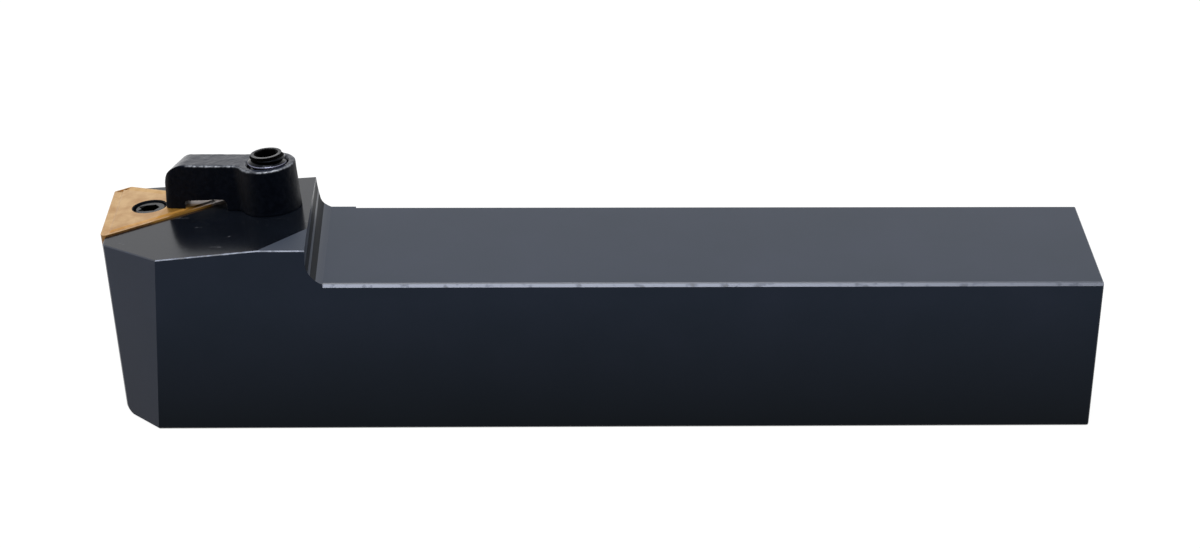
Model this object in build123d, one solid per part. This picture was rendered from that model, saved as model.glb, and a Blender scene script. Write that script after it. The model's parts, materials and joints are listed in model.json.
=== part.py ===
from build123d import *
import os
from math import cos, radians, sin, sqrt, tan

# Left-hand external turning tool holder with a triangular insert. Millimetres.
# +X runs back along the shank, +Y to the side that the cutting corner stands out of, +Z up.
# The origin is on the base, in the middle of the shank's width and of the overall length.

# Shank and overall sizes
shank_width = 25.0
shank_height = 25.0
overall_length = 150.0  # cutting edge to rear face
cutting_offset = 32.0  # near side of the shank to the cutting corner, before wear
near_chamfer = 0.52
far_chamfer = 0.45
far_chamfer_start = 6.3  # behind the shoulder
base_chamfer = 0.3
edge_break = 0.15

# Head
head_length = 31.5  # cutting edge back to the shoulder
head_rise = 5.65  # flat of the head above the top of the shank
shoulder_radius = 4.0
shoulder_run_out = 0.29  # the radius ends this far below the shank's top, which is ground through it
flank_overhang = 3.75  # far side of the head beyond the shank, at the shoulder
flank_angle = 5.0  # the far side widens towards the corner
flank_relief = 4.0  # and leans in towards the base
step_run = 1.0  # slant of the step between the head's far side and the shank's
step_radius = 0.7
end_overhang = 0.62  # cutting edge in front of the end face, level with the corner
end_relief = 5.0
end_round = 1.5  # at the foot of the end face
facet_start = 8.5  # cutting edge back to the facet's edge on the near side, at the base
facet_angle = 43.6  # facet to the near side
facet_lean = 1.55

# Seat: the plane of the insert's upper face, which holds the unworn corner
axial_tilt = 6.0  # rises towards the rear
side_tilt = 6.0  # falls towards the far side
insert_proud = 0.28  # upper face of the insert above the sloping top of the head
wall_gap = 0.02
corner_relief = 1.6  # radius of the drilled corner of the pocket

# Insert
inscribed_circle = 12.7
insert_thickness = 4.76
insert_hole = 5.16
hole_edge = 0.15
corner_radius = 0.8
lead_angle = 91.0  # cutting edge to the shank
wear_depth = 2.45  # sharp corner to the flat that wear has left
wear_round = 0.4
land_width = 0.25
rake_run = 0.7
groove_floor = 0.2
groove_exit = 0.3
groove_depth = 0.16

# Shim
shim_thickness = 3.18
shim_inset = 0.4
shim_bore_gap = 0.3

# Lock pin: a threaded shank with a coned collar in the shim and an eccentric neck in the insert
pin_thread = 6.0
pin_thread_length = 9.0
pin_neck = 4.9
pin_eccentricity = 0.1
pin_below_face = 0.25
pin_top_chamfer = 0.3
pin_collar = 7.6
pin_collar_height = 0.35
pin_collar_drop = 0.15  # collar below the underside of the insert
pin_seat_gap = 0.05
pin_socket = 2.5
pin_socket_depth = 2.2

# Clamp
clamp_height = 7.3
clamp_swing = 15.5  # arm to the shank, seen from above
clamp_back = 26.05  # screw axis behind the cutting corner, along the seat
clamp_across = 14.6  # and across it
forging_draft = 0.7  # of the boss and the sides of the arm
boss_radius = 4.45
boss_shift = 0.1  # the boss is this much nearer to the nose than its bore
arm_width = 5.45
arm_side_shift = 0.8
root_radius = 1.8  # between the arm and the boss
nose_reach = 17.05
nose_length = 3.4
nose_draft = 5.0
nose_corner_radius = 1.3
nose_top_radius = 3.0
arch_start = 6.85  # screw axis to the arch under the arm
arch_rear_height = 2.0
arch_front_height = 1.65
arch_radius = 0.7
top_edge_radius = 0.35
bore_mouth = 0.35

# Clamp screw: right-hand thread in the body, plain waist, left-hand thread in the clamp
screw_thread = 6.0
screw_above_clamp = 1.4
screw_in_body = 16.0
screw_waist = 4.7
screw_waist_length = 2.4
screw_end_chamfer = 0.6
screw_socket = 3.0
screw_socket_depth = 3.2

# Both threads: the fine helix isn't cut, and the tapped holes clear the outside of the thread
thread_gap = 0.05
hole_run_out = 1.5

# Positions that follow
rear_x = overall_length / 2
edge_x = rear_x - overall_length
near_y = -shank_width / 2
far_y = shank_width / 2
tip_y = near_y + cutting_offset
head_height = shank_height + head_rise
shoulder_x = edge_x + head_length
seat_depth = insert_thickness + shim_thickness
insert_side = inscribed_circle * sqrt(3)
seat = Plane(
    origin=(edge_x, tip_y, shank_height),
    x_dir=(1, 0, tan(radians(axial_tilt))),
    z_dir=(-tan(radians(axial_tilt)), tan(radians(side_tilt)), 1),
).location
clamp_seat = seat * Pos(clamp_back, -clamp_across, -insert_proud) * Rot(0, 0, 180 - clamp_swing)
beyond = overall_length / 2  # how far a cut runs out into the air

bottom_aligned = (Align.CENTER, Align.CENTER, Align.MIN)


def heading(angle):
    """Unit vector in the XY plane."""
    return Vector(cos(radians(angle)), sin(radians(angle)))


def flat_points(points):
    return [(p.X, p.Y) for p in points]


def polygon(points):
    return Polygon(*points, align=None)


def prism(face, height):
    """Straight up from a level face, or straight down where the height is negative."""
    return extrude(face, abs(height), dir=(0, 0, height))


def turned(profile):
    """Solid of revolution about Z from (radius, height) points."""
    outline = Polyline(*[(radius, 0, height) for radius, height in profile], close=True)
    return revolve(make_face(outline), Axis.Z)


def above_plane(point, normal):
    """A block that stands on the plane through a point, for cutting off what is above it."""
    block = Box(2 * beyond, 2 * beyond, beyond, align=bottom_aligned)
    return Plane(origin=point, z_dir=normal) * block


def leaning(direction, lean):
    """A level direction turned up by lean degrees."""
    level = direction * cos(radians(lean))
    return (level.X, level.Y, sin(radians(lean)))


def blind_hole(diameter, depth):
    """Drilled hole with its 118 degree point, mouth at Z = 0."""
    radius = diameter / 2
    point = radius / tan(radians(59))
    return turned([(0, 2), (radius, 2), (radius, -depth), (0, -depth - point)])


def hexagon_socket(across_flats, depth):
    """Hexagon recess with a shallow drilled point, mouth at Z = 0."""
    radius = 0.45 * across_flats
    recess = prism(RegularPolygon(across_flats / sqrt(3), 6), -depth)
    drilled = turned([(0, -depth / 2), (radius, -depth / 2), (radius, -depth), (0, -depth - radius / 2)])
    return recess + drilled


def triangle(inset=0.0):
    """Near, rear and cutting corners of the insert's triangle in the seat, all sharp."""
    middle = heading(lead_angle + 30)
    tangent_centre = Vector(corner_radius, -corner_radius)
    cutting = tangent_centre + middle * (2 * corner_radius - 2 * inset)
    side = insert_side - 2 * sqrt(3) * inset
    near = cutting - heading(lead_angle) * side
    rear = cutting - heading(lead_angle + 60) * side
    return near, rear, cutting


def pin_axis():
    near, rear, cutting = triangle()
    return (near + rear + cutting) / 3


def insert_outline(inset=0.0):
    """Triangle with rounded corners, and the flat where the cutting corner has worn away."""
    near, rear, cutting = triangle(inset)
    cut_back = (wear_depth - inset) / cos(radians(30))
    flat_start = cutting - heading(lead_angle) * cut_back
    flat_end = cutting - heading(lead_angle + 60) * cut_back
    face = polygon(flat_points([near, rear, flat_end, flat_start]))
    kept = face.vertices().sort_by_distance((cutting.X, cutting.Y, 0))
    face = fillet(kept[:2], wear_round - inset)
    kept = face.vertices().sort_by_distance((cutting.X, cutting.Y, 0))
    return fillet(kept[-2:], corner_radius - inset)


def chip_groove():
    """Chip breaker along the three edges of the upper face, mitred at the corners."""
    corners = triangle()
    centre = pin_axis()
    run = land_width
    section_points = [(run, 0)]
    run += rake_run
    section_points.append((run, -groove_depth))
    run += groove_floor
    section_points.append((run, -groove_depth))
    run += groove_exit
    section_points.append((run, 0))
    grooves = Part()
    for start, end in zip(corners, corners[1:] + corners[:1]):
        edge = (end - start).normalized()
        inward = Vector(-edge.Y, edge.X)
        across = Plane(origin=start, x_dir=inward, z_dir=edge)
        section = polygon(section_points)
        if across.y_dir.Z < 0:
            section = polygon([(x, -y) for x, y in section_points])
        bar = extrude(across * section, insert_side, dir=edge)
        sector = polygon(flat_points([start, end, centre]))
        grooves += bar & extrude(sector, 1, both=True)
    return grooves & extrude(insert_outline(land_width), 1, both=True)


def insert():
    body = prism(insert_outline(), -insert_thickness)
    groove = chip_groove()
    body -= groove
    body -= groove.mirror(Plane.XY.offset(-insert_thickness / 2))
    radius = insert_hole / 2
    reach = radius + hole_edge + 1
    hole = turned(
        [
            (0, 1),
            (reach, 1),
            (radius, -hole_edge),
            (radius, hole_edge - insert_thickness),
            (reach, -insert_thickness - 1),
            (0, -insert_thickness - 1),
        ]
    )
    return seat * (body - Pos(pin_axis()) * hole)


def shim():
    plate = polygon(flat_points(triangle(shim_inset)))
    plate = fillet(plate.vertices(), corner_radius)
    body = Pos(0, 0, -seat_depth) * prism(plate, shim_thickness)
    collar = pin_collar / 2 + pin_seat_gap
    bore = pin_thread / 2 + shim_bore_gap
    cone_top = -insert_thickness - pin_collar_drop - pin_collar_height
    hole = turned(
        [
            (0, 0),
            (collar, 0),
            (collar, cone_top),
            (bore, cone_top - collar + bore),
            (bore, -seat_depth - 1),
            (0, -seat_depth - 1),
        ]
    )
    return seat * (body - Pos(pin_axis()) * hole)


def lock_pin():
    near, rear, cutting = triangle()
    collar = pin_collar / 2
    thread = pin_thread / 2
    collar_top = -insert_thickness - pin_collar_drop
    cone_top = collar_top - pin_collar_height
    foot = -seat_depth - pin_thread_length
    shank = turned(
        [
            (0, collar_top),
            (collar, collar_top),
            (collar, cone_top),
            (thread, cone_top - collar + thread),
            (thread, foot + screw_end_chamfer),
            (thread - screw_end_chamfer, foot),
            (0, foot),
        ]
    )
    neck = pin_neck / 2
    stem = turned(
        [
            (0, -pin_below_face),
            (neck - pin_top_chamfer, -pin_below_face),
            (neck, -pin_below_face - pin_top_chamfer),
            (neck, collar_top),
            (0, collar_top),
        ]
    )
    stem -= Pos(0, 0, -pin_below_face) * hexagon_socket(pin_socket, pin_socket_depth)
    lean = (rear - pin_axis()).normalized() * pin_eccentricity
    return seat * Pos(pin_axis()) * (shank + Pos(lean) * stem)


def clamp_outline(height):
    """Boss and arm seen from above, at a height of the drafted forging."""
    draft = height * tan(radians(forging_draft))
    reach = nose_reach - height * tan(radians(nose_draft))
    arm = Pos(reach / 2, -arm_side_shift) * Rectangle(reach, arm_width - 2 * draft)
    arm = fillet(arm.vertices().sort_by(Axis.X)[-2:], nose_corner_radius)
    outline = Pos(boss_shift, 0) * Circle(boss_radius - draft) + arm
    roots = [v for v in outline.vertices() if boss_radius / 4 < v.X < boss_radius + boss_shift]
    return Pos(0, 0, height) * fillet(roots, root_radius)


def clamp():
    body = loft([clamp_outline(0), clamp_outline(clamp_height)], ruled=True)
    body = fillet(body.faces().sort_by(Axis.Z)[-1].edges(), top_edge_radius)
    lean = tan(radians(nose_draft))
    front = nose_reach + edge_break  # just outside the nose, so that only the rounding cuts
    side = polygon(
        [
            (-beyond, -1),
            (front + lean, -1),
            (front - clamp_height * lean, clamp_height),
            (-beyond, clamp_height),
        ]
    )
    side = fillet(side.vertices().group_by(Axis.Y)[-1].sort_by(Axis.X)[-1], nose_top_radius)
    body &= Plane.XZ * extrude(side, beyond, both=True)
    arch = polygon(
        [
            (arch_start, -1),
            (nose_reach - nose_length, -1),
            (nose_reach - nose_length, arch_front_height),
            (arch_start, arch_rear_height),
        ]
    )
    arch = fillet(arch.vertices().sort_by(Axis.Y)[-2:], arch_radius)
    body -= Plane.XZ * extrude(arch, beyond, both=True)
    sole_align = (Align.MIN, Align.CENTER, Align.MAX)
    body -= Pos(arch_start, 0, insert_proud) * Box(beyond, beyond, 1, align=sole_align)
    bore = screw_thread / 2 + thread_gap
    mouth = bore + bore_mouth
    body -= turned(
        [
            (0, -1),
            (bore, -1),
            (bore, clamp_height - bore_mouth),
            (mouth + 1, clamp_height + 1),
            (0, clamp_height + 1),
        ]
    )
    return clamp_seat * body


def clamp_screw():
    thread = screw_thread / 2
    waist = screw_waist / 2
    top = clamp_height + screw_above_clamp
    waist_top = screw_waist_length / 4
    waist_foot = waist_top - screw_waist_length
    profile = [
        (0, -screw_in_body),
        (thread - screw_end_chamfer, -screw_in_body),
        (thread, screw_end_chamfer - screw_in_body),
        (thread, waist_foot - thread + waist),
        (waist, waist_foot),
        (waist, waist_top),
        (thread, waist_top + thread - waist),
        (thread, top - screw_end_chamfer),
        (thread - screw_end_chamfer, top),
        (0, top),
    ]
    body = turned(profile) - Pos(0, 0, top) * hexagon_socket(screw_socket, screw_socket_depth)
    return clamp_seat * body


def head_block():
    """The head with its end face, facet and far side, before the seat is cut."""
    step_x = shoulder_x + step_run
    front_x = edge_x - head_length
    wide_y = far_y + cutting_offset
    outline = polygon(
        [
            (front_x, near_y),
            (step_x, near_y),
            (step_x, far_y),
            (shoulder_x, far_y + flank_overhang),
            (shoulder_x, wide_y),
            (front_x, wide_y),
        ]
    )
    block = prism(outline, head_height)
    end_point = (edge_x + end_overhang, tip_y, shank_height)
    block -= above_plane(end_point, leaning(heading(lead_angle + 90), -end_relief))
    facet_point = (edge_x + facet_start, near_y, 0)
    block -= above_plane(facet_point, leaning(heading(-90 - facet_angle), facet_lean))
    flank_point = (shoulder_x, far_y + flank_overhang, head_height)
    block -= above_plane(flank_point, leaning(heading(90 - flank_angle), -flank_relief))
    return block


def shoulder_cut():
    """What is milled off above the shank, with the radius at the foot of the shoulder."""
    profile = polygon(
        [
            (shoulder_x, shank_height - shoulder_run_out),
            (rear_x + beyond, shank_height - shoulder_run_out),
            (rear_x + beyond, head_height + beyond),
            (shoulder_x, head_height + beyond),
        ]
    )
    foot = profile.vertices().sort_by_distance((shoulder_x, shank_height, 0))[0]
    milled = Plane.XZ * extrude(fillet(foot, shoulder_radius), beyond, both=True)
    kept = Pos(0, 0, shank_height) * Box(4 * beyond, 4 * beyond, beyond, align=bottom_aligned)
    return milled & kept


def top_edge_cut(edge_y, size, start_x):
    """Prism that breaks a top edge of the shank, from near the shoulder to the rear."""
    section = Pos(edge_y, shank_height) * polygon([(-size, 0), (0, -size), (size, 0), (0, size)])
    across = Plane(origin=(start_x, 0, 0), x_dir=(0, 1, 0), z_dir=(1, 0, 0))
    return across * extrude(section, rear_x - start_x + beyond)


def pocket():
    """Room for the insert and its shim in the seat's frame, open past the cutting edge."""
    near, rear, cutting = triangle(-wall_gap)
    to_near = (near - rear).normalized()
    to_cutting = (cutting - rear).normalized()
    reach = insert_side + 2 * corner_relief + cutting_offset / 2
    outline = polygon(flat_points([rear, rear + to_near * reach, rear + to_cutting * reach]))
    room = Pos(0, 0, -seat_depth) * prism(outline, seat_depth + beyond)
    relief_at = rear + (to_near + to_cutting) * (corner_relief / 2)
    relief = Cylinder(corner_relief, seat_depth + beyond, align=bottom_aligned)
    return room + Pos(relief_at.X, relief_at.Y, -seat_depth) * relief


def broken_edges(body):
    """The outer edges round the top of the head up to the shoulder, and those round the rear face."""
    slope = Plane(seat).z_dir
    tops = [f for f in body.faces() if f.normal_at().dot(slope) > 0.95 and f.center().X < shoulder_x]
    edges = [e for f in tops for e in f.edges()]
    outer = [e for e in edges if edges.count(e) == 1 and e.center().X < shoulder_x - edge_break]
    return outer + list(body.faces().sort_by(Axis.X)[-1].edges())


def holder_body():
    shank_length = rear_x - shoulder_x
    blank = Box(shank_length, shank_width, head_height, align=(Align.MIN, Align.CENTER, Align.MIN))
    body = head_block() + Pos(shoulder_x, 0, 0) * blank
    inner = [e for e in body.edges().filter_by(Axis.Z) if abs(e.center().Y - far_y) < 0.01]
    body = fillet([e for e in inner if abs(e.center().X - shoulder_x - step_run) < 0.01], step_radius)
    body -= shoulder_cut()
    foot = body.faces().sort_by(Axis.Z)[0]
    body = fillet(foot.edges().sort_by(Axis.X)[0], end_round)
    body = chamfer(body.faces().sort_by(Axis.Z)[0].edges(), base_chamfer)
    body -= seat * Pos(0, 0, -insert_proud) * Box(4 * beyond, 4 * beyond, beyond, align=bottom_aligned)
    body = chamfer(broken_edges(body), edge_break)
    radius_end = shoulder_radius - sqrt(shoulder_radius**2 - (shoulder_radius - shoulder_run_out) ** 2)
    body -= top_edge_cut(near_y, near_chamfer, shoulder_x + radius_end)
    body -= top_edge_cut(far_y, far_chamfer, shoulder_x + far_chamfer_start)
    body -= seat * pocket()
    pin_hole = blind_hole(pin_thread + 2 * thread_gap, pin_thread_length + hole_run_out)
    body -= seat * Pos(pin_axis()) * Pos(0, 0, -seat_depth) * pin_hole
    body -= clamp_seat * blind_hole(screw_thread + 2 * thread_gap, screw_in_body + hole_run_out)
    return body


os.makedirs("parts", exist_ok=True)
for make_piece in (holder_body, shim, insert, lock_pin, clamp, clamp_screw):
    piece = make_piece()
    export_step(piece, f"parts/{make_piece.__name__}.step")
    print(make_piece.__name__, "solids", len(piece.solids()), "volume", round(piece.volume, 1))
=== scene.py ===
import json
import math

import bmesh
import bpy
from mathutils import Matrix, Vector, noise


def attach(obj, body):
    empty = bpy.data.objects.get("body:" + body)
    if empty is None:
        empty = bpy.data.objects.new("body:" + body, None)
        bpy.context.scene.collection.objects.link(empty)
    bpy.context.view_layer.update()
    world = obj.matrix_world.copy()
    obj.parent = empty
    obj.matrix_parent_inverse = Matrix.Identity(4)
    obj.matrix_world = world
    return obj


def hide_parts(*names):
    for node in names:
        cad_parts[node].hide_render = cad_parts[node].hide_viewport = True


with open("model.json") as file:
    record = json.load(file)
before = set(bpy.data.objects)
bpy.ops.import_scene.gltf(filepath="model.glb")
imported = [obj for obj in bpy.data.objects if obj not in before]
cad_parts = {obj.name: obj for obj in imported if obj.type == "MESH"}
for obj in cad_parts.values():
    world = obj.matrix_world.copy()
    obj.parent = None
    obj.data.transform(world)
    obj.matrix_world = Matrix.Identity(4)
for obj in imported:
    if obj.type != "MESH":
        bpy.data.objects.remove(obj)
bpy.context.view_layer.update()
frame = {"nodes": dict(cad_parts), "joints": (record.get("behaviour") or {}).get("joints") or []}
nodes = frame["nodes"]
mm = 0.001


def jointNamed(name):
    return next(joint for joint in frame["joints"] if joint["name"] == name)


seatNormal = Vector(jointNamed("clamp_lift")["axis"]).normalized()  # square to the head's top
pinAxis = Vector(jointNamed("lock_pin_turn")["pos_m"])

# The clamp's own frame: its screw's axis where it meets the head, nose along X, height along Z
clampPivot = Vector(jointNamed("clamp_screw_turn")["pos_m"])
noseWay = Vector((-0.955448, 0.26579, -0.128357)).normalized()  # 15.5 degrees off the shank
clampSide = seatNormal.cross(noseWay)
clampFrame = Matrix((noseWay, clampSide, seatNormal)).transposed().to_4x4()
clampFrame.translation = clampPivot


# Nodes and colours

def linearFromHex(code):
    channels = [int(code[i:i + 2], 16) / 255 for i in (1, 3, 5)]
    return [c / 12.92 if c <= 0.04045 else ((c + 0.055) / 1.055) ** 2.4 for c in channels] + [1.0]


def grey(value):
    return [value, value, value, 1.0]


def addNode(tree, kind, settings=None, **links):
    # A setting is an input, a property or a ramp's stops. A link names its input by its words
    # with _ for a space, or by its number after an i.
    node = tree.nodes.new(kind)
    for name, value in (settings or {}).items():
        if name == "stops":
            for element, (position, colour) in zip(node.color_ramp.elements, value):
                element.position = position
                element.color = colour
        elif isinstance(name, int) or name in node.inputs:
            node.inputs[name].default_value = value
        else:
            setattr(node, name, value)
    for name, socket in links.items():
        key = int(name[1:]) if name[1:].isdigit() else name.replace("_", " ")
        tree.links.new(socket, node.inputs[key])
    return node


def newMaterial(name):
    material = bpy.data.materials.new(name)
    material.use_nodes = True
    tree = material.node_tree
    tree.nodes.clear()
    shader = addNode(tree, "ShaderNodeBsdfPrincipled")
    addNode(tree, "ShaderNodeOutputMaterial", Surface=shader.outputs[0])
    place = addNode(tree, "ShaderNodeTexCoord").outputs["Object"]
    return material, tree, shader, place


# Black oxide on tool steel: a thin dark magnetite film that still holds a trace of oil, so the
# face is near black and takes its brightness from a soft gloss. Clouds of oil and film have
# their real size. Grinding and cutter lines are really 0.02 to 0.1 mm apart, too fine to show,
# so scratchGap draws them coarser.

groundOxide = {  # surface ground: an even satin with faint lines along the shank
    "film": "#28303d", "filmThin": "#2c3341", "gloss": "#43403a", "ior": 1.5,
    "roughness": (0.27, 0.32), "cloudSize": 14 * mm,
    "scratchGap": 0.35 * mm, "scratchLength": 9 * mm, "scratchHeight": 0.0010 * mm,
    # painted shade: the film darkens toward the foot of the sides
    "footShade": "#12181f", "footShadeBelow": 22 * mm,
}
fineGroundOxide = {  # finely ground: smooth enough to mirror the clamp
    "film": "#090c12", "filmThin": "#0d1118", "gloss": "#505f80", "ior": 1.42,
    "roughness": (0.13, 0.2), "cloudSize": 9 * mm,
    "scratchGap": 0.3 * mm, "scratchLength": 6 * mm, "scratchHeight": 0.0005 * mm,
    "mark": "#4c4d52", "markSize": 1.1 * mm, "markLength": 4 * mm, "markTurn": 25,
}
facetOxide = dict(  # ground upright: paler, with lines down the face
    # with the same painted shade toward the foot
    groundOxide, film="#222b3c", filmThin="#283143", gloss="#24283a", ior=1.36, footShade="#1b2232",
    scratchGap=0.45 * mm, scratchLength=12 * mm, scratchHeight=0.004 * mm,
)
turnedOxide = {  # turned: the blackest, with small bright glints on its edges
    "film": "#040508", "filmThin": "#07090d", "gloss": "#585c66", "ior": 1.55,
    "roughness": (0.16, 0.24), "cloudSize": 2 * mm,
    "scratchGap": 0.2 * mm, "scratchLength": 2 * mm, "scratchHeight": 0.0015 * mm,
}
milledShadeOxide = {  # milled: rougher and dull, and its near-black film paints shade into the faces it is given
    "film": "#0a0d12", "filmThin": "#11151b", "gloss": "#383c44", "ior": 1.18,
    "roughness": (0.4, 0.5), "cloudSize": 2 * mm,
    "scratchGap": 0.25 * mm, "scratchLength": 5 * mm, "scratchHeight": 0.004 * mm,
}
recessShadeOxide = {  # painted shade: a near-black, rough film for the sockets and the screw's thread roots and waist, where shade falls
    "film": "#010101", "filmThin": "#040404", "gloss": "#101010", "ior": 1.2,
    "roughness": (0.8, 0.9), "cloudSize": 1 * mm,
    "scratchGap": 0.2 * mm, "scratchLength": 0.4 * mm, "scratchHeight": 0.002 * mm,
}
oxidePattern = {  # shared by all of them
    "cloud": {"Detail": 4.0, "Roughness": 0.6}, "scratch": {"Detail": 3.0, "Roughness": 0.65},
    "mark": {"Detail": 5.0, "Roughness": 0.7, "Distortion": 0.5},
    "thin": (0.35, 0.7), "marked": (0.64, 0.72),
}


def blackOxide(name, direction, oxide):
    material, tree, shader, place = newMaterial(name)
    cloud = addNode(tree, "ShaderNodeTexNoise", {"Scale": 1 / oxide["cloudSize"],
                                                 **oxidePattern["cloud"]}, Vector=place)
    shades = linearFromHex(oxide["film"]), linearFromHex(oxide["filmThin"])
    film = addNode(tree, "ShaderNodeValToRGB", {"stops": list(zip(oxidePattern["thin"], shades))},
                   Fac=cloud.outputs[0]).outputs[0]
    if "footShade" in oxide:  # painted shade: the film is painted darker toward the foot of the sides
        height = addNode(tree, "ShaderNodeSeparateXYZ", Vector=place)
        level = addNode(tree, "ShaderNodeMapRange", {"From Max": oxide["footShadeBelow"]},
                        Value=height.outputs["Z"])
        film = addNode(tree, "ShaderNodeMix",
                       {"data_type": "RGBA", 6: linearFromHex(oxide["footShade"])},
                       i0=level.outputs[0], i7=film).outputs[2]
    # the wheel's scratches lie along the direction it ran
    across = 1 / oxide["scratchGap"]
    along = 1 / oxide["scratchLength"]
    stretch = [along if axis == direction else across for axis in "XYZ"]
    lines = addNode(tree, "ShaderNodeMapping", {"Scale": stretch}, Vector=place)
    scratch = addNode(tree, "ShaderNodeTexNoise", {"Scale": 1.0, **oxidePattern["scratch"]},
                      Vector=lines.outputs[0])
    dull = addNode(tree, "ShaderNodeMix", dict(zip((2, 3), oxide["roughness"])),
                   i0=cloud.outputs[0])
    bump = addNode(tree, "ShaderNodeBump", {"Distance": oxide["scratchHeight"]},
                   Height=scratch.outputs[0])
    if "mark" in oxide:  # a few pale rubs where chips and the key have slid
        across = 1 / oxide["markSize"]
        slide = addNode(tree, "ShaderNodeMapping",
                        {"Rotation": (0, 0, math.radians(oxide["markTurn"])),
                         "Scale": (1 / oxide["markLength"], across, across)}, Vector=place)
        marks = addNode(tree, "ShaderNodeTexNoise", {"Scale": 1.0, **oxidePattern["mark"]},
                        Vector=slide.outputs[0])
        limits = list(zip(oxidePattern["marked"], (grey(0.0), grey(1.0))))
        mask = addNode(tree, "ShaderNodeValToRGB", {"stops": limits}, Fac=marks.outputs[0])
        film = addNode(tree, "ShaderNodeMix",
                       {"data_type": "RGBA", 7: linearFromHex(oxide["mark"])},
                       i0=mask.outputs[0], i6=film).outputs[2]
    shader.inputs["IOR"].default_value = oxide["ior"]
    shader.inputs["Specular Tint"].default_value = linearFromHex(oxide["gloss"])
    tree.links.new(film, shader.inputs["Base Color"])
    tree.links.new(dull.outputs[0], shader.inputs["Roughness"])
    tree.links.new(bump.outputs[0], shader.inputs["Normal"])
    return material


# Rubbed edge: handling has worn the film off the corners, so bare steel shows through it in
# a thin broken line that catches the light.

edgeWear = {
    "steel": "#4b4e56", "rimSteel": "#84869a", "film": "#242d3f", "roughness": 0.34,
    "patch": 1.1 * mm, "patchDetail": 3.0, "share": 0.36, "brokenShare": 0.46, "border": 0.08,
    "filmAt": 25 * mm, "filmWidth": 0.15 * mm,
}


def rubbedEdge(name, share=edgeWear["share"], steel=edgeWear["steel"]):
    material, tree, shader, place = newMaterial(name)
    patches = addNode(tree, "ShaderNodeTexNoise",
                      {"Scale": 1 / edgeWear["patch"], "Detail": edgeWear["patchDetail"]},
                      Vector=place)
    limits = [(share - edgeWear["border"], grey(0.0)), (share + edgeWear["border"], grey(1.0))]
    bare = addNode(tree, "ShaderNodeValToRGB", {"stops": limits}, Fac=patches.outputs[0])
    # the film lasts along the upper border of the shank's chamfer
    height = addNode(tree, "ShaderNodeSeparateXYZ", Vector=place)
    border = addNode(tree, "ShaderNodeMath", {"operation": "COMPARE", 1: edgeWear["filmAt"],
                                              2: edgeWear["filmWidth"]}, i0=height.outputs["Z"])
    bare = addNode(tree, "ShaderNodeMath", {"operation": "SUBTRACT", "use_clamp": True},
                   i0=bare.outputs[0], i1=border.outputs[0]).outputs[0]
    colour = addNode(tree, "ShaderNodeMix",
                     {"data_type": "RGBA", 6: linearFromHex(edgeWear["film"]),
                      7: linearFromHex(steel)}, i0=bare)
    tree.links.new(colour.outputs[2], shader.inputs["Base Color"])
    tree.links.new(bare, shader.inputs["Metallic"])
    shader.inputs["Roughness"].default_value = edgeWear["roughness"]
    return material


# Titanium-based coating on sintered carbide: a pale golden metal with a satin grain. The real
# grain is about 0.02 mm, too fine to show, and is drawn coarser.

coating = {
    "gold": "#c6a270", "goldPatch": "#aa7e47", "shadedFlank": "#8a6230", "shadedFlankPatch": "#6d4a20",
    "metallic": 0.6, "roughness": (0.28, 0.42), "cloudSize": 3.5 * mm,
    "cloud": {"Detail": 5.0, "Roughness": 0.65}, "patched": (0.36, 0.62),
    "grain": 0.12 * mm, "grainDetail": 2.0, "grainHeight": 0.0012 * mm,
    # painted shade and a pale painted reflection where the clamp reaches over
    "paleReflection": "#b8aca6", "shaded": "#a87a34",
    "reflectionBehind": -0.3 * mm, "clampReachUpTo": 16.8 * mm, "reachFade": 0.4 * mm,
}


def coatedCarbide(name, gold, patch):
    material, tree, shader, place = newMaterial(name)
    cloud = addNode(tree, "ShaderNodeTexNoise", {"Scale": 1 / coating["cloudSize"],
                                                 **coating["cloud"]}, Vector=place)
    shades = linearFromHex(patch), linearFromHex(gold)
    colour = addNode(tree, "ShaderNodeValToRGB", {"stops": list(zip(coating["patched"], shades))},
                     Fac=cloud.outputs[0]).outputs[0]
    # painted shade where the clamp reaches over the insert, and within that, on the far side, a
    # pale painted reflection of the white backdrop under the arch
    reach = addNode(tree, "ShaderNodeVectorMath", {"operation": "SUBTRACT", 1: clampPivot},
                    i0=place).outputs[0]
    masks = []
    for way, edge in ((clampSide, coating["reflectionBehind"]), (noseWay, coating["clampReachUpTo"])):
        distance = addNode(tree, "ShaderNodeVectorMath", {"operation": "DOT_PRODUCT", 1: way},
                           i0=reach)
        masks.append(addNode(tree, "ShaderNodeMapRange",
                             {"From Min": edge + coating["reachFade"], "From Max": edge},
                             Value=distance.outputs["Value"]).outputs[0])
    behind, under = masks
    paleReflectionMask = addNode(tree, "ShaderNodeMath", {"operation": "MULTIPLY"}, i0=behind, i1=under)
    for shade, mask in (("shaded", under), ("paleReflection", paleReflectionMask.outputs[0])):
        colour = addNode(tree, "ShaderNodeMix",
                         {"data_type": "RGBA", 7: linearFromHex(coating[shade])},
                         i0=mask, i6=colour).outputs[2]
    grain = addNode(tree, "ShaderNodeTexNoise",
                    {"Scale": 1 / coating["grain"], "Detail": coating["grainDetail"]},
                    Vector=place)
    dull = addNode(tree, "ShaderNodeMix", dict(zip((2, 3), coating["roughness"])),
                   i0=cloud.outputs[0])
    bump = addNode(tree, "ShaderNodeBump", {"Distance": coating["grainHeight"]},
                   Height=grain.outputs[0])
    shader.inputs["Metallic"].default_value = coating["metallic"]
    tree.links.new(colour, shader.inputs["Base Color"])
    tree.links.new(dull.outputs[0], shader.inputs["Roughness"])
    tree.links.new(bump.outputs[0], shader.inputs["Normal"])
    return material


# Black oxide over a drop-forged skin: the same film, on a surface with shallow rounded dents
# that break up its gloss.

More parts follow.
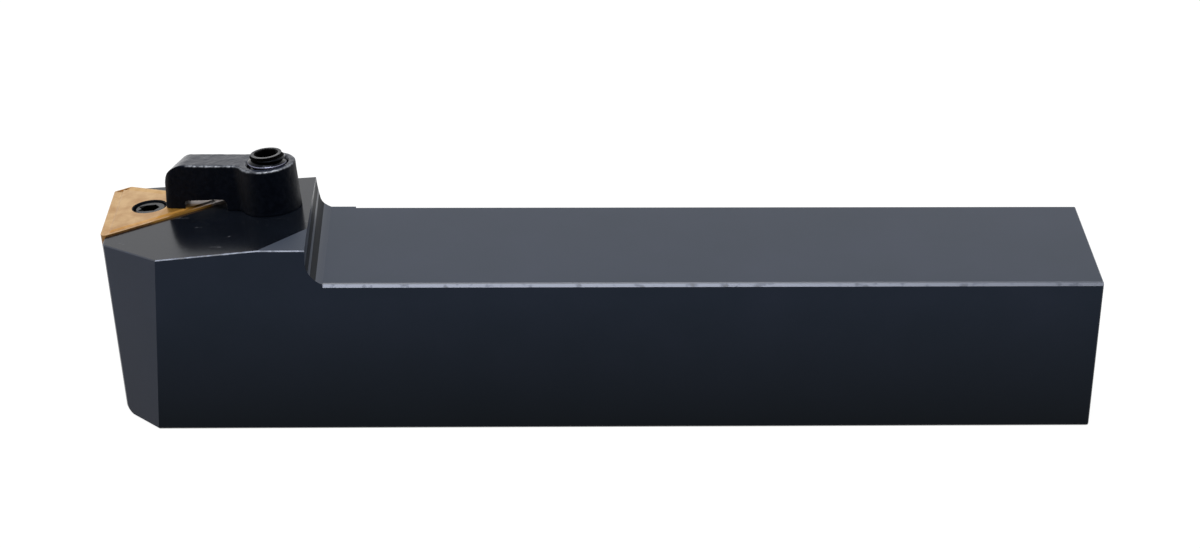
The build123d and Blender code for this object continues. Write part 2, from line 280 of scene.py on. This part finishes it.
forging = {
    "film": "#03050a", "filmThin": "#080b12", "litTopFilm": "#181d2a", "bare": "#a0a4ac",
    "gloss": "#1c1f28", "ior": 1.6, "sideRoughness": 0.6, "topRoughness": 0.22,
    "dent": 0.7 * mm, "dents": {"Detail": 4.0, "Roughness": 0.6}, "dentHeight": 0.03 * mm,
    "thin": (0.4, 0.65), "polished": (0.3, 0.9), "litTopFilmed": (0.5, 0.95),
}


def forgedOxide(name):
    material, tree, shader, place = newMaterial(name)
    dents = addNode(tree, "ShaderNodeTexNoise", {"Scale": 1 / forging["dent"],
                                                 **forging["dents"]}, Vector=place)
    shades = linearFromHex(forging["film"]), linearFromHex(forging["filmThin"])
    film = addNode(tree, "ShaderNodeValToRGB", {"stops": list(zip(forging["thin"], shades))},
                   Fac=dents.outputs[0])
    # hands and chips polish what faces up, so it is smoother, and the sides keep the furnace's
    # dull skin
    upward = addNode(tree, "ShaderNodeVectorMath", {"operation": "DOT_PRODUCT", 1: seatNormal},
                     i0=addNode(tree, "ShaderNodeTexCoord").outputs["Normal"]).outputs["Value"]
    start, end = forging["polished"]
    dull = addNode(tree, "ShaderNodeMapRange",
                   {"From Min": start, "From Max": end, "To Min": forging["sideRoughness"],
                    "To Max": forging["topRoughness"]}, Value=upward)
    # painted light: the film of faces that point up is painted paler
    start, end = forging["litTopFilmed"]
    level = addNode(tree, "ShaderNodeMapRange", {"From Min": start, "From Max": end},
                    Value=upward)
    film = addNode(tree, "ShaderNodeMix",
                   {"data_type": "RGBA", 7: linearFromHex(forging["litTopFilm"])},
                   i0=level.outputs[0], i6=film.outputs[0])
    bump = addNode(tree, "ShaderNodeBump", {"Distance": forging["dentHeight"]},
                   Height=dents.outputs[0])
    # the corners that are rubbed bare are marked on the mesh
    bare = addNode(tree, "ShaderNodeAttribute", {"attribute_name": "rubbed"}).outputs["Fac"]
    colour = addNode(tree, "ShaderNodeMix",
                     {"data_type": "RGBA", 7: linearFromHex(forging["bare"])},
                     i0=bare, i6=film.outputs[2])
    shader.inputs["IOR"].default_value = forging["ior"]
    shader.inputs["Specular Tint"].default_value = linearFromHex(forging["gloss"])
    tree.links.new(colour.outputs[2], shader.inputs["Base Color"])
    tree.links.new(bare, shader.inputs["Metallic"])
    tree.links.new(dull.outputs[0], shader.inputs["Roughness"])
    tree.links.new(bump.outputs[0], shader.inputs["Normal"])
    return material


print("materials")
groundAlong = blackOxide("groundBlackOxide", "X", groundOxide)
headTop = blackOxide("finelyGroundBlackOxide", "X", fineGroundOxide)
facet = blackOxide("facetBlackOxide", "Z", facetOxide)
turned = blackOxide("turnedBlackOxide", "Y", turnedOxide)
milledShade = blackOxide("milledBlackOxideWithPaintedShade", "Y", milledShadeOxide)
recessShade = blackOxide("paintedRecessShade", "Z", recessShadeOxide)
rubbed = rubbedEdge("rubbedSteelEdge")
chipped = rubbedEdge("chippedSteelEdge", edgeWear["brokenShare"])
rubbedRim = rubbedEdge("rubbedScrewRim", steel=edgeWear["rimSteel"])
coatedTop = coatedCarbide("titaniumCoatedCarbide", coating["gold"], coating["goldPatch"])
# the flanks and the faces below take a darker gold, painted shade
shadedCoatedFlank = coatedCarbide("titaniumCoatedCarbideShadedFlank", coating["shadedFlank"], coating["shadedFlankPatch"])
forged = forgedOxide("forgedBlackOxide")


# Holder, shim, insert and lock pin keep their CAD shapes, and each face takes its finish from
# the way it points. In these dictionaries a number without mm is a part of the face's normal.

def wear(node, materials, choose):
    mesh = nodes[node].data
    mesh.materials.clear()
    for material in materials:
        mesh.materials.append(material)
    for face in mesh.polygons:
        face.material_index = materials.index(choose(face))


def fromPinAxis(face):
    away = face.center - pinAxis
    return (away - seatNormal * away.dot(seatNormal)).length


holder = {
    "shoulderStart": -43.55 * mm, "shoulderEnd": -39.4 * mm,
    "shoulderFoot": 24.6 * mm, "shoulderTop": 28.9 * mm,
    "milledShadeBands": ((0.12, 0.43), (0.52, 0.76)), "headTop": 0.995, "flat": 0.93, "slight": 0.3,
}


def holderFinish(face):
    n, place = face.normal, face.center
    slight = holder["slight"]
    if n.dot(seatNormal) > holder["headTop"]:
        return headTop
    onShoulder = (holder["shoulderStart"] < place.x < holder["shoulderEnd"]
                  and holder["shoulderFoot"] < place.z < holder["shoulderTop"])
    if onShoulder and abs(n.y) < slight:
        # bands of the shoulder's fillet, picked by the way they point, get the milled finish:
        # rougher, and painted dark as shade
        inBand = any(low < n.z < high for low, high in holder["milledShadeBands"])
        return milledShade if inBand else groundAlong
    if n.x < -slight and abs(n.z) < slight:
        return facet  # and the end face
    if max(abs(n.x), abs(n.y), abs(n.z)) < holder["flat"] and n.z > slight:
        return chipped if place.x < holder["shoulderStart"] else rubbed
    return groundAlong


insert = {"holeRadius": 2.7 * mm, "wallBelow": 0.9, "topAbove": 0.3}


def insertFinish(face):
    up = face.normal.dot(seatNormal)
    if fromPinAxis(face) < insert["holeRadius"] and up < insert["wallBelow"]:
        return milledShade  # wall of the hole, given the near-black milled film as painted shade
    # painted shade: faces that don't point up take the darker flank gold
    return coatedTop if up > insert["topAbove"] else shadedCoatedFlank


pin = {"socketRadius": 1.5 * mm, "chamfer": (0.5, 0.9)}


def pinFinish(face):
    # the socket is painted near black, painted shade
    if fromPinAxis(face) < pin["socketRadius"]:
        return recessShade
    low, high = pin["chamfer"]
    return rubbed if low < face.normal.dot(seatNormal) < high else turned


print("holder, shim, insert and lock pin")
wear("holder_body", [groundAlong, headTop, rubbed, milledShade, facet, chipped], holderFinish)
wear("insert", [coatedTop, shadedCoatedFlank, milledShade], insertFinish)
wear("shim", [groundAlong], lambda face: groundAlong)
wear("lock_pin", [turned, rubbed, recessShade], pinFinish)


def newPiece(name, mesh, materials, body, slot, *replaced):
    for material in materials:
        mesh.materials.append(material)
    piece = bpy.data.objects.new(name, mesh)
    bpy.context.collection.objects.link(piece)
    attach(piece, body)
    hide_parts(*replaced)
    return piece


# Clamp: a small drop forging. The die leaves its corners soft and its skin slightly uneven.
# Places are in the clamp's own frame.

clampForging = {
    "voxel": 0.11 * mm, "softening": 5, "softenFactor": 0.5,
    "dentSize": 1.3 * mm, "dentDepth": 0.04 * mm, "dentsAbove": 0.4 * mm,
    "fineDents": 0.5, "fineDentScale": 2.7, "dentLevel": 0.5,
    "noseStart": 15 * mm, "noseSwell": 0.2 * mm, "swellRun": 1.5 * mm,
    "noseTop": (13.1 * mm, 3.6 * mm), "noseRound": 3.7 * mm,
    "noseWall": (11 * mm, 13 * mm, 16.5 * mm), "wallRun": 0.6 * mm, "noseSlant": 0.29,
    "archEnds": (5 * mm, 10 * mm, 12.5 * mm), "heelRun": 1 * mm, "toeRun": 0.8 * mm,
    "archSides": (1.9 * mm, -3.5 * mm), "archHeights": (0.3 * mm, 1.9 * mm, 5 * mm),
    "archDrop": (0.2 * mm, 1.0 * mm),
    "rubbedAbove": 5.2 * mm, "rubbedEnd": (12.9 * mm, 12.1 * mm), "bossEnd": (3 * mm, 5 * mm),
    "bossShare": 0.7, "rubbedCurve": 0.095, "rubbedFrom": 0.45, "rubbedGain": 3, "rubbedBlur": 2,
    "rubbedPatch": 1.6 * mm, "rubbedPlace": Vector((38.36, 0, 0)), "patchLevel": 1.05,
    "patchContrast": 2.2,
}


def clip(value):
    return min(max(value, 0), 1)


def fade(value, start, end):
    return clip((value - start) / (end - start))


def swageClamp(point):
    # the nose swells a little and is rounder above, its inner wall slants on the far side, and
    # the arch is a little lower, most of all on that side
    x, y, z = point
    start = clampForging["noseStart"]
    x += clampForging["noseSwell"] * fade(x, start, start + clampForging["swellRun"])
    centreX, centreZ = clampForging["noseTop"]
    out = math.hypot(x - centreX, z - centreZ)
    if x > centreX and z > centreZ and out > clampForging["noseRound"]:
        inward = clampForging["noseRound"] / out
        x = centreX + (x - centreX) * inward
        z = centreZ + (z - centreZ) * inward
    near, far = clampForging["archSides"]
    inner, wall, outer = clampForging["noseWall"]
    low, ceiling, high = clampForging["archHeights"]
    slant = clampForging["noseSlant"] * (near - y) * fade(x, inner, wall)
    x += slant * fade(x, outer, wall + clampForging["wallRun"]) * fade(z, high, ceiling)
    heel, spring, toe = clampForging["archEnds"]
    nearDrop, farDrop = clampForging["archDrop"]
    drop = nearDrop * fade(x, wall + clampForging["toeRun"], wall)
    drop += (farDrop - nearDrop) * fade(y, near, far) * fade(x, toe, spring)
    drop *= fade(x, heel - clampForging["heelRun"], heel)
    z -= drop * fade(z, low, ceiling) * fade(z, high, ceiling)
    return Vector((x, y, z))


def dentAt(place):
    fine = noise.noise(place / clampForging["dentSize"] * clampForging["fineDentScale"])
    dent = noise.noise(place / clampForging["dentSize"]) + clampForging["fineDents"] * fine
    return clampForging["dentDepth"] * clip(clampForging["dentLevel"] + dent)


def forgeClamp():
    blank = bpy.data.objects.new("clampBlank", nodes["clamp"].data.copy())
    bpy.context.collection.objects.link(blank)
    remesh = blank.modifiers.new("skin", "REMESH")
    remesh.mode = "VOXEL"
    remesh.voxel_size = clampForging["voxel"]
    soften = blank.modifiers.new("soften", "SMOOTH")
    soften.factor = clampForging["softenFactor"]
    soften.iterations = clampForging["softening"]
    skin = blank.evaluated_get(bpy.context.evaluated_depsgraph_get())
    mesh = bpy.data.meshes.new_from_object(skin)
    mesh.materials.clear()
    bpy.data.objects.remove(blank)
    toClamp = clampFrame.inverted()
    for vertex in mesh.vertices:
        vertex.co = clampFrame @ swageClamp(toClamp @ vertex.co)
    normals = [Vector(vertex.normal) for vertex in mesh.vertices]
    for vertex, normal in zip(mesh.vertices, normals):
        if (toClamp @ vertex.co).z > clampForging["dentsAbove"]:
            vertex.co -= normal * dentAt(vertex.co)
    markRubbed(mesh, toClamp)
    mesh.shade_smooth()
    return mesh


def cornersOf(mesh):
    # a corner is where the neighbours of a point all lie below its own level
    count = [0] * len(mesh.vertices)
    drop = [0.0] * len(mesh.vertices)
    for edge in mesh.edges:
        first, second = (mesh.vertices[i] for i in edge.vertices)
        step = (second.co - first.co).normalized()
        drop[first.index] -= step.dot(first.normal)
        drop[second.index] += step.dot(second.normal)
        count[first.index] += 1
        count[second.index] += 1
    drop = [total / max(number, 1) for total, number in zip(drop, count)]
    for _ in range(clampForging["rubbedBlur"]):  # evens out the steps of the skin
        level = list(drop)
        for edge in mesh.edges:
            first, second = edge.vertices
            drop[first] += level[second]
            drop[second] += level[first]
        drop = [total / (number + 1) for total, number in zip(drop, count)]
    return drop


def markRubbed(mesh, toClamp):
    # the upper corners of the arm and the boss are rubbed bare in patches
    rubbed = mesh.attributes.new("rubbed", "FLOAT", "POINT")
    bossShare = clampForging["bossShare"]
    for vertex, drop in zip(mesh.vertices, cornersOf(mesh)):
        corner = drop / clampForging["rubbedCurve"] - clampForging["rubbedFrom"]
        place = vertex.co / clampForging["rubbedPatch"] + clampForging["rubbedPlace"]
        patch = clampForging["patchLevel"] + clampForging["patchContrast"] * noise.noise(place)
        x, y, z = toClamp @ vertex.co
        onArm = bossShare + (1 - bossShare) * fade(x, *clampForging["bossEnd"])
        share = (z > clampForging["rubbedAbove"]) * fade(x, *clampForging["rubbedEnd"]) * onArm
        rubbed.data[vertex.index].value = clip(corner * clampForging["rubbedGain"]) * clip(
            patch) * share


print("clamp")
newPiece("clampForging", forgeClamp(), [forged], "clamp", "forged_clamp_steel", "clamp")


# Clamp screw: a double-ended grub screw. Its threads are cut to depth all the way round, the
# top one left-handed and the foot right-handed, so one turn of the key moves it twice a pitch.
# Sizes are in mm in the clamp's own frame.

screw = {
    "foot": -16.0, "waistFoot": -1.8, "waistTop": 0.6, "top": 8.7, "pitch": 1.0,
    "threadRadius": 2.95, "coreRadius": 2.36, "waistRadius": 2.33, "waistInset": 0.01,
    "lead": 0.6, "leadSlope": 0.6, "socketFlats": 3.0, "socketDepth": 3.1, "socketPoint": 0.5,
    "socketMouth": 0.12, "mouthBlend": 0.02, "mouthDrop": 0.05, "segments": 96, "sharpAngle": 35,
    "recessShadeBelow": 2.6, "rubbedAbove": 2.8, "rimAbove": 2.25, "rimWidth": 0.35,
    "threadProfile": [  # share of a pitch, share of the depth
        (0.0, 0.0), (0.07, 0.0), (0.13, 0.06), (0.36, 0.90), (0.44, 1.0), (0.56, 1.0),
        (0.64, 0.90), (0.87, 0.06), (0.93, 0.0)],
}
screwFinishes = [turned, recessShade, rubbedRim]


def joinRings(bm, lower, upper):
    for i in range(len(lower)):
        j = (i + 1) % len(lower)
        bm.faces.new((lower[i], lower[j], upper[j], upper[i]))


def makeRing(bm, radiusAt, z):
    angles = [2 * math.pi * i / screw["segments"] for i in range(screw["segments"])]
    return [bm.verts.new((radiusAt(a) * math.cos(a), radiusAt(a) * math.sin(a), z))
            for a in angles]


def threadSection(bm, foot, top, hand, ring):
    # rows of points lie along the helix, so its crest and root are true edges
    profile, pitch = screw["threadProfile"], screw["pitch"]
    crest, core = screw["threadRadius"], screw["coreRadius"]
    count = len(profile)
    rows = int((top - foot) / pitch + 3) * count  # a pitch to spare beyond each end
    columns = []
    for i in range(screw["segments"]):
        turn = i / screw["segments"]
        angle = 2 * math.pi * turn
        column = []
        lastZ = None
        for row in range(rows):
            share, depth = profile[row % count]
            z = foot - pitch + (row // count + share + hand * turn + (hand < 0)) * pitch
            z = min(max(z, foot), top)
            radius = crest - (crest - core) * depth
            ending = min(z - foot, top - z) * screw["leadSlope"]
            radius = min(radius, crest - screw["lead"] + ending)
            place = (radius * math.cos(angle), radius * math.sin(angle), z)
            ended = z in (foot, top) and z == lastZ
            lastZ = z
            column.append(column[-1] if ended else bm.verts.new(place))
        columns.append(column)
    shift = count * hand  # once round, a row meets the one a pitch further on
    for i in range(screw["segments"]):
        wrapped = i + 1 == screw["segments"]
        near, far = columns[i], columns[(i + 1) % screw["segments"]]
        for row in range(rows - 1):
            other = row + shift if wrapped else row
            if not 0 <= other < rows - 1:
                continue
            corners = []
            for vert in (near[row], far[other], far[other + 1], near[row + 1]):
                if vert not in corners:
                    corners.append(vert)
            if len(corners) > 2:
                bm.faces.new(corners)
    feet = [column[0] for column in columns]
    tops = [column[-1] for column in columns]
    if ring:
        joinRings(bm, ring, feet)
    return feet, tops


def cutScrew():
    bm = bmesh.new()
    foot, ring = threadSection(bm, screw["foot"], screw["waistFoot"], 1, None)
    bm.faces.new(list(reversed(foot)))
    inset = screw["waistInset"]
    for z in (screw["waistFoot"] + inset, screw["waistTop"] - inset):
        waist = makeRing(bm, lambda a: screw["waistRadius"], z)
        joinRings(bm, ring, waist)
        ring = waist
    ring = threadSection(bm, screw["waistTop"], screw["top"], -1, ring)[1]
    flats, top, mouth = screw["socketFlats"] / 2, screw["top"], screw["socketMouth"]

    def hexagon(a):
        return flats / math.cos((a % (math.pi / 3)) - math.pi / 6)

    corner = flats / math.cos(math.pi / 6)
    socket = [(lambda a: corner + mouth, top),
              (lambda a: min(corner, hexagon(a) + screw["mouthBlend"]), top - mouth),
              (hexagon, top - mouth - screw["mouthDrop"]),
              (hexagon, top - screw["socketDepth"])]
    outside = len(bm.faces)
    for radiusAt, z in socket:
        wall = makeRing(bm, radiusAt, z)
        joinRings(bm, ring, wall)
        ring = wall
    tip = bm.verts.new((0, 0, top - screw["socketDepth"] - screw["socketPoint"]))
    for i in range(len(ring)):
        bm.faces.new((ring[i], ring[(i + 1) % len(ring)], tip))
    # the socket and the faces nearest the axis, the thread's roots and the waist, are painted
    # near black as shade; the crests and the top rim are bare steel
    for number, face in enumerate(bm.faces):
        middle = face.calc_center_median()
        radius = math.hypot(middle.x, middle.y)
        inSocket = number >= outside + screw["segments"]
        inThread = number < outside and radius < screw["recessShadeBelow"]
        onRim = radius > screw["rimAbove"] and middle.z > top - screw["rimWidth"]
        if inSocket or inThread:
            face.material_index = screwFinishes.index(recessShade)
        elif onRim or radius > screw["rubbedAbove"]:
            face.material_index = screwFinishes.index(rubbedRim)
    bmesh.ops.recalc_face_normals(bm, faces=bm.faces)
    bmesh.ops.transform(bm, matrix=clampFrame @ Matrix.Scale(mm, 4), verts=bm.verts)
    mesh = bpy.data.meshes.new("clampScrewThread")
    bm.to_mesh(mesh)
    bm.free()
    mesh.shade_smooth()
    mesh.set_sharp_from_angle(angle=math.radians(screw["sharpAngle"]))
    return mesh


print("clamp screw")
newPiece("clampScrewThread", cutScrew(), screwFinishes, "clamp_screw", "black_oxide_screws",
         "clamp_screw")


# Studio: white table and backdrop, one broad softbox overhead, a weak even fill

studio = {
    "ambient": 0.32, "tableEmission": 0.93, "tableDiffuse": 0.12, "tableSize": 6.0,
    "tableDrop": 0.02 * mm, "boxSize": (0.55, 0.5), "boxPlace": (-0.05, -0.22, 0.78),
    "boxPower": 7.0,
}


def seenDirectly(tree):
    path = addNode(tree, "ShaderNodeLightPath")
    shiny = addNode(tree, "ShaderNodeMath", {"operation": "MAXIMUM"},
                    i0=path.outputs["Is Camera Ray"], i1=path.outputs["Is Glossy Ray"])
    return addNode(tree, "ShaderNodeMath", {"operation": "MAXIMUM"}, i0=shiny.outputs[0],
                   i1=path.outputs["Is Transmission Ray"]).outputs[0]


print("studio")
world = bpy.data.worlds.new("studioWorld")
bpy.context.scene.world = world
world.use_nodes = True
tree = world.node_tree
tree.nodes.clear()
strength = addNode(tree, "ShaderNodeMix", {2: studio["ambient"], 3: 1.0}, i0=seenDirectly(tree))
backdrop = addNode(tree, "ShaderNodeBackground", {"Color": grey(1.0)},
                   Strength=strength.outputs[0])
addNode(tree, "ShaderNodeOutputWorld", Surface=backdrop.outputs[0])

half = studio["tableSize"] / 2
mesh = bpy.data.meshes.new("table")
mesh.from_pydata([(-half, -half, 0), (half, -half, 0), (half, half, 0), (-half, half, 0)], [],
                 [(0, 1, 2, 3)])
table = bpy.data.objects.new("table", mesh)
table.location.z = -studio["tableDrop"]
bpy.context.collection.objects.link(table)
tableMaterial = bpy.data.materials.new("whiteTable")
tableMaterial.use_nodes = True
tree = tableMaterial.node_tree
tree.nodes.clear()
matte = addNode(tree, "ShaderNodeBsdfDiffuse", {"Color": grey(studio["tableDiffuse"])})
lit = addNode(tree, "ShaderNodeMath", {"operation": "MULTIPLY", 1: studio["tableEmission"]},
              i0=seenDirectly(tree))
glow = addNode(tree, "ShaderNodeEmission", {"Color": grey(1.0)}, Strength=lit.outputs[0])
both = addNode(tree, "ShaderNodeAddShader", i0=matte.outputs[0], i1=glow.outputs[0])
addNode(tree, "ShaderNodeOutputMaterial", Surface=both.outputs[0])
mesh.materials.append(tableMaterial)

box = bpy.data.lights.new("softbox", "AREA")
box.shape = "RECTANGLE"
box.size, box.size_y = studio["boxSize"]
box.energy = studio["boxPower"]
softbox = bpy.data.objects.new("softbox", box)
softbox.location = studio["boxPlace"]
softbox.rotation_euler = (-Vector(studio["boxPlace"])).to_track_quat("-Z", "Y").to_euler()
bpy.context.collection.objects.link(softbox)

bpy.context.scene.view_settings.view_transform = "Standard"

# Camera: stands in front of the near side and above it, a little to the left of the middle

view = {
    "place": (-0.01357, -0.37914, 0.22826), "azimuth": -2.107, "elevation": 28.783,
    "roll": 0.892, "lens": 85.1, "sensor": 36.0,
}

print("camera")
azimuth = math.radians(view["azimuth"])
elevation = math.radians(view["elevation"])
back = Vector((math.sin(azimuth) * math.cos(elevation), -math.cos(azimuth) * math.cos(elevation),
               math.sin(elevation)))
right = Vector((math.cos(azimuth), math.sin(azimuth), 0))
roll = Matrix.Rotation(math.radians(view["roll"]), 3, "Z")
pose = Matrix((right, back.cross(right), back)).transposed() @ roll
lens = bpy.data.cameras.new("camera")
lens.lens = view["lens"]
lens.sensor_width = view["sensor"]
camera = bpy.data.objects.new("camera", lens)
camera.matrix_world = Matrix.Translation(view["place"]) @ pose.to_4x4()
bpy.context.collection.objects.link(camera)
bpy.context.scene.camera = camera

print("done")
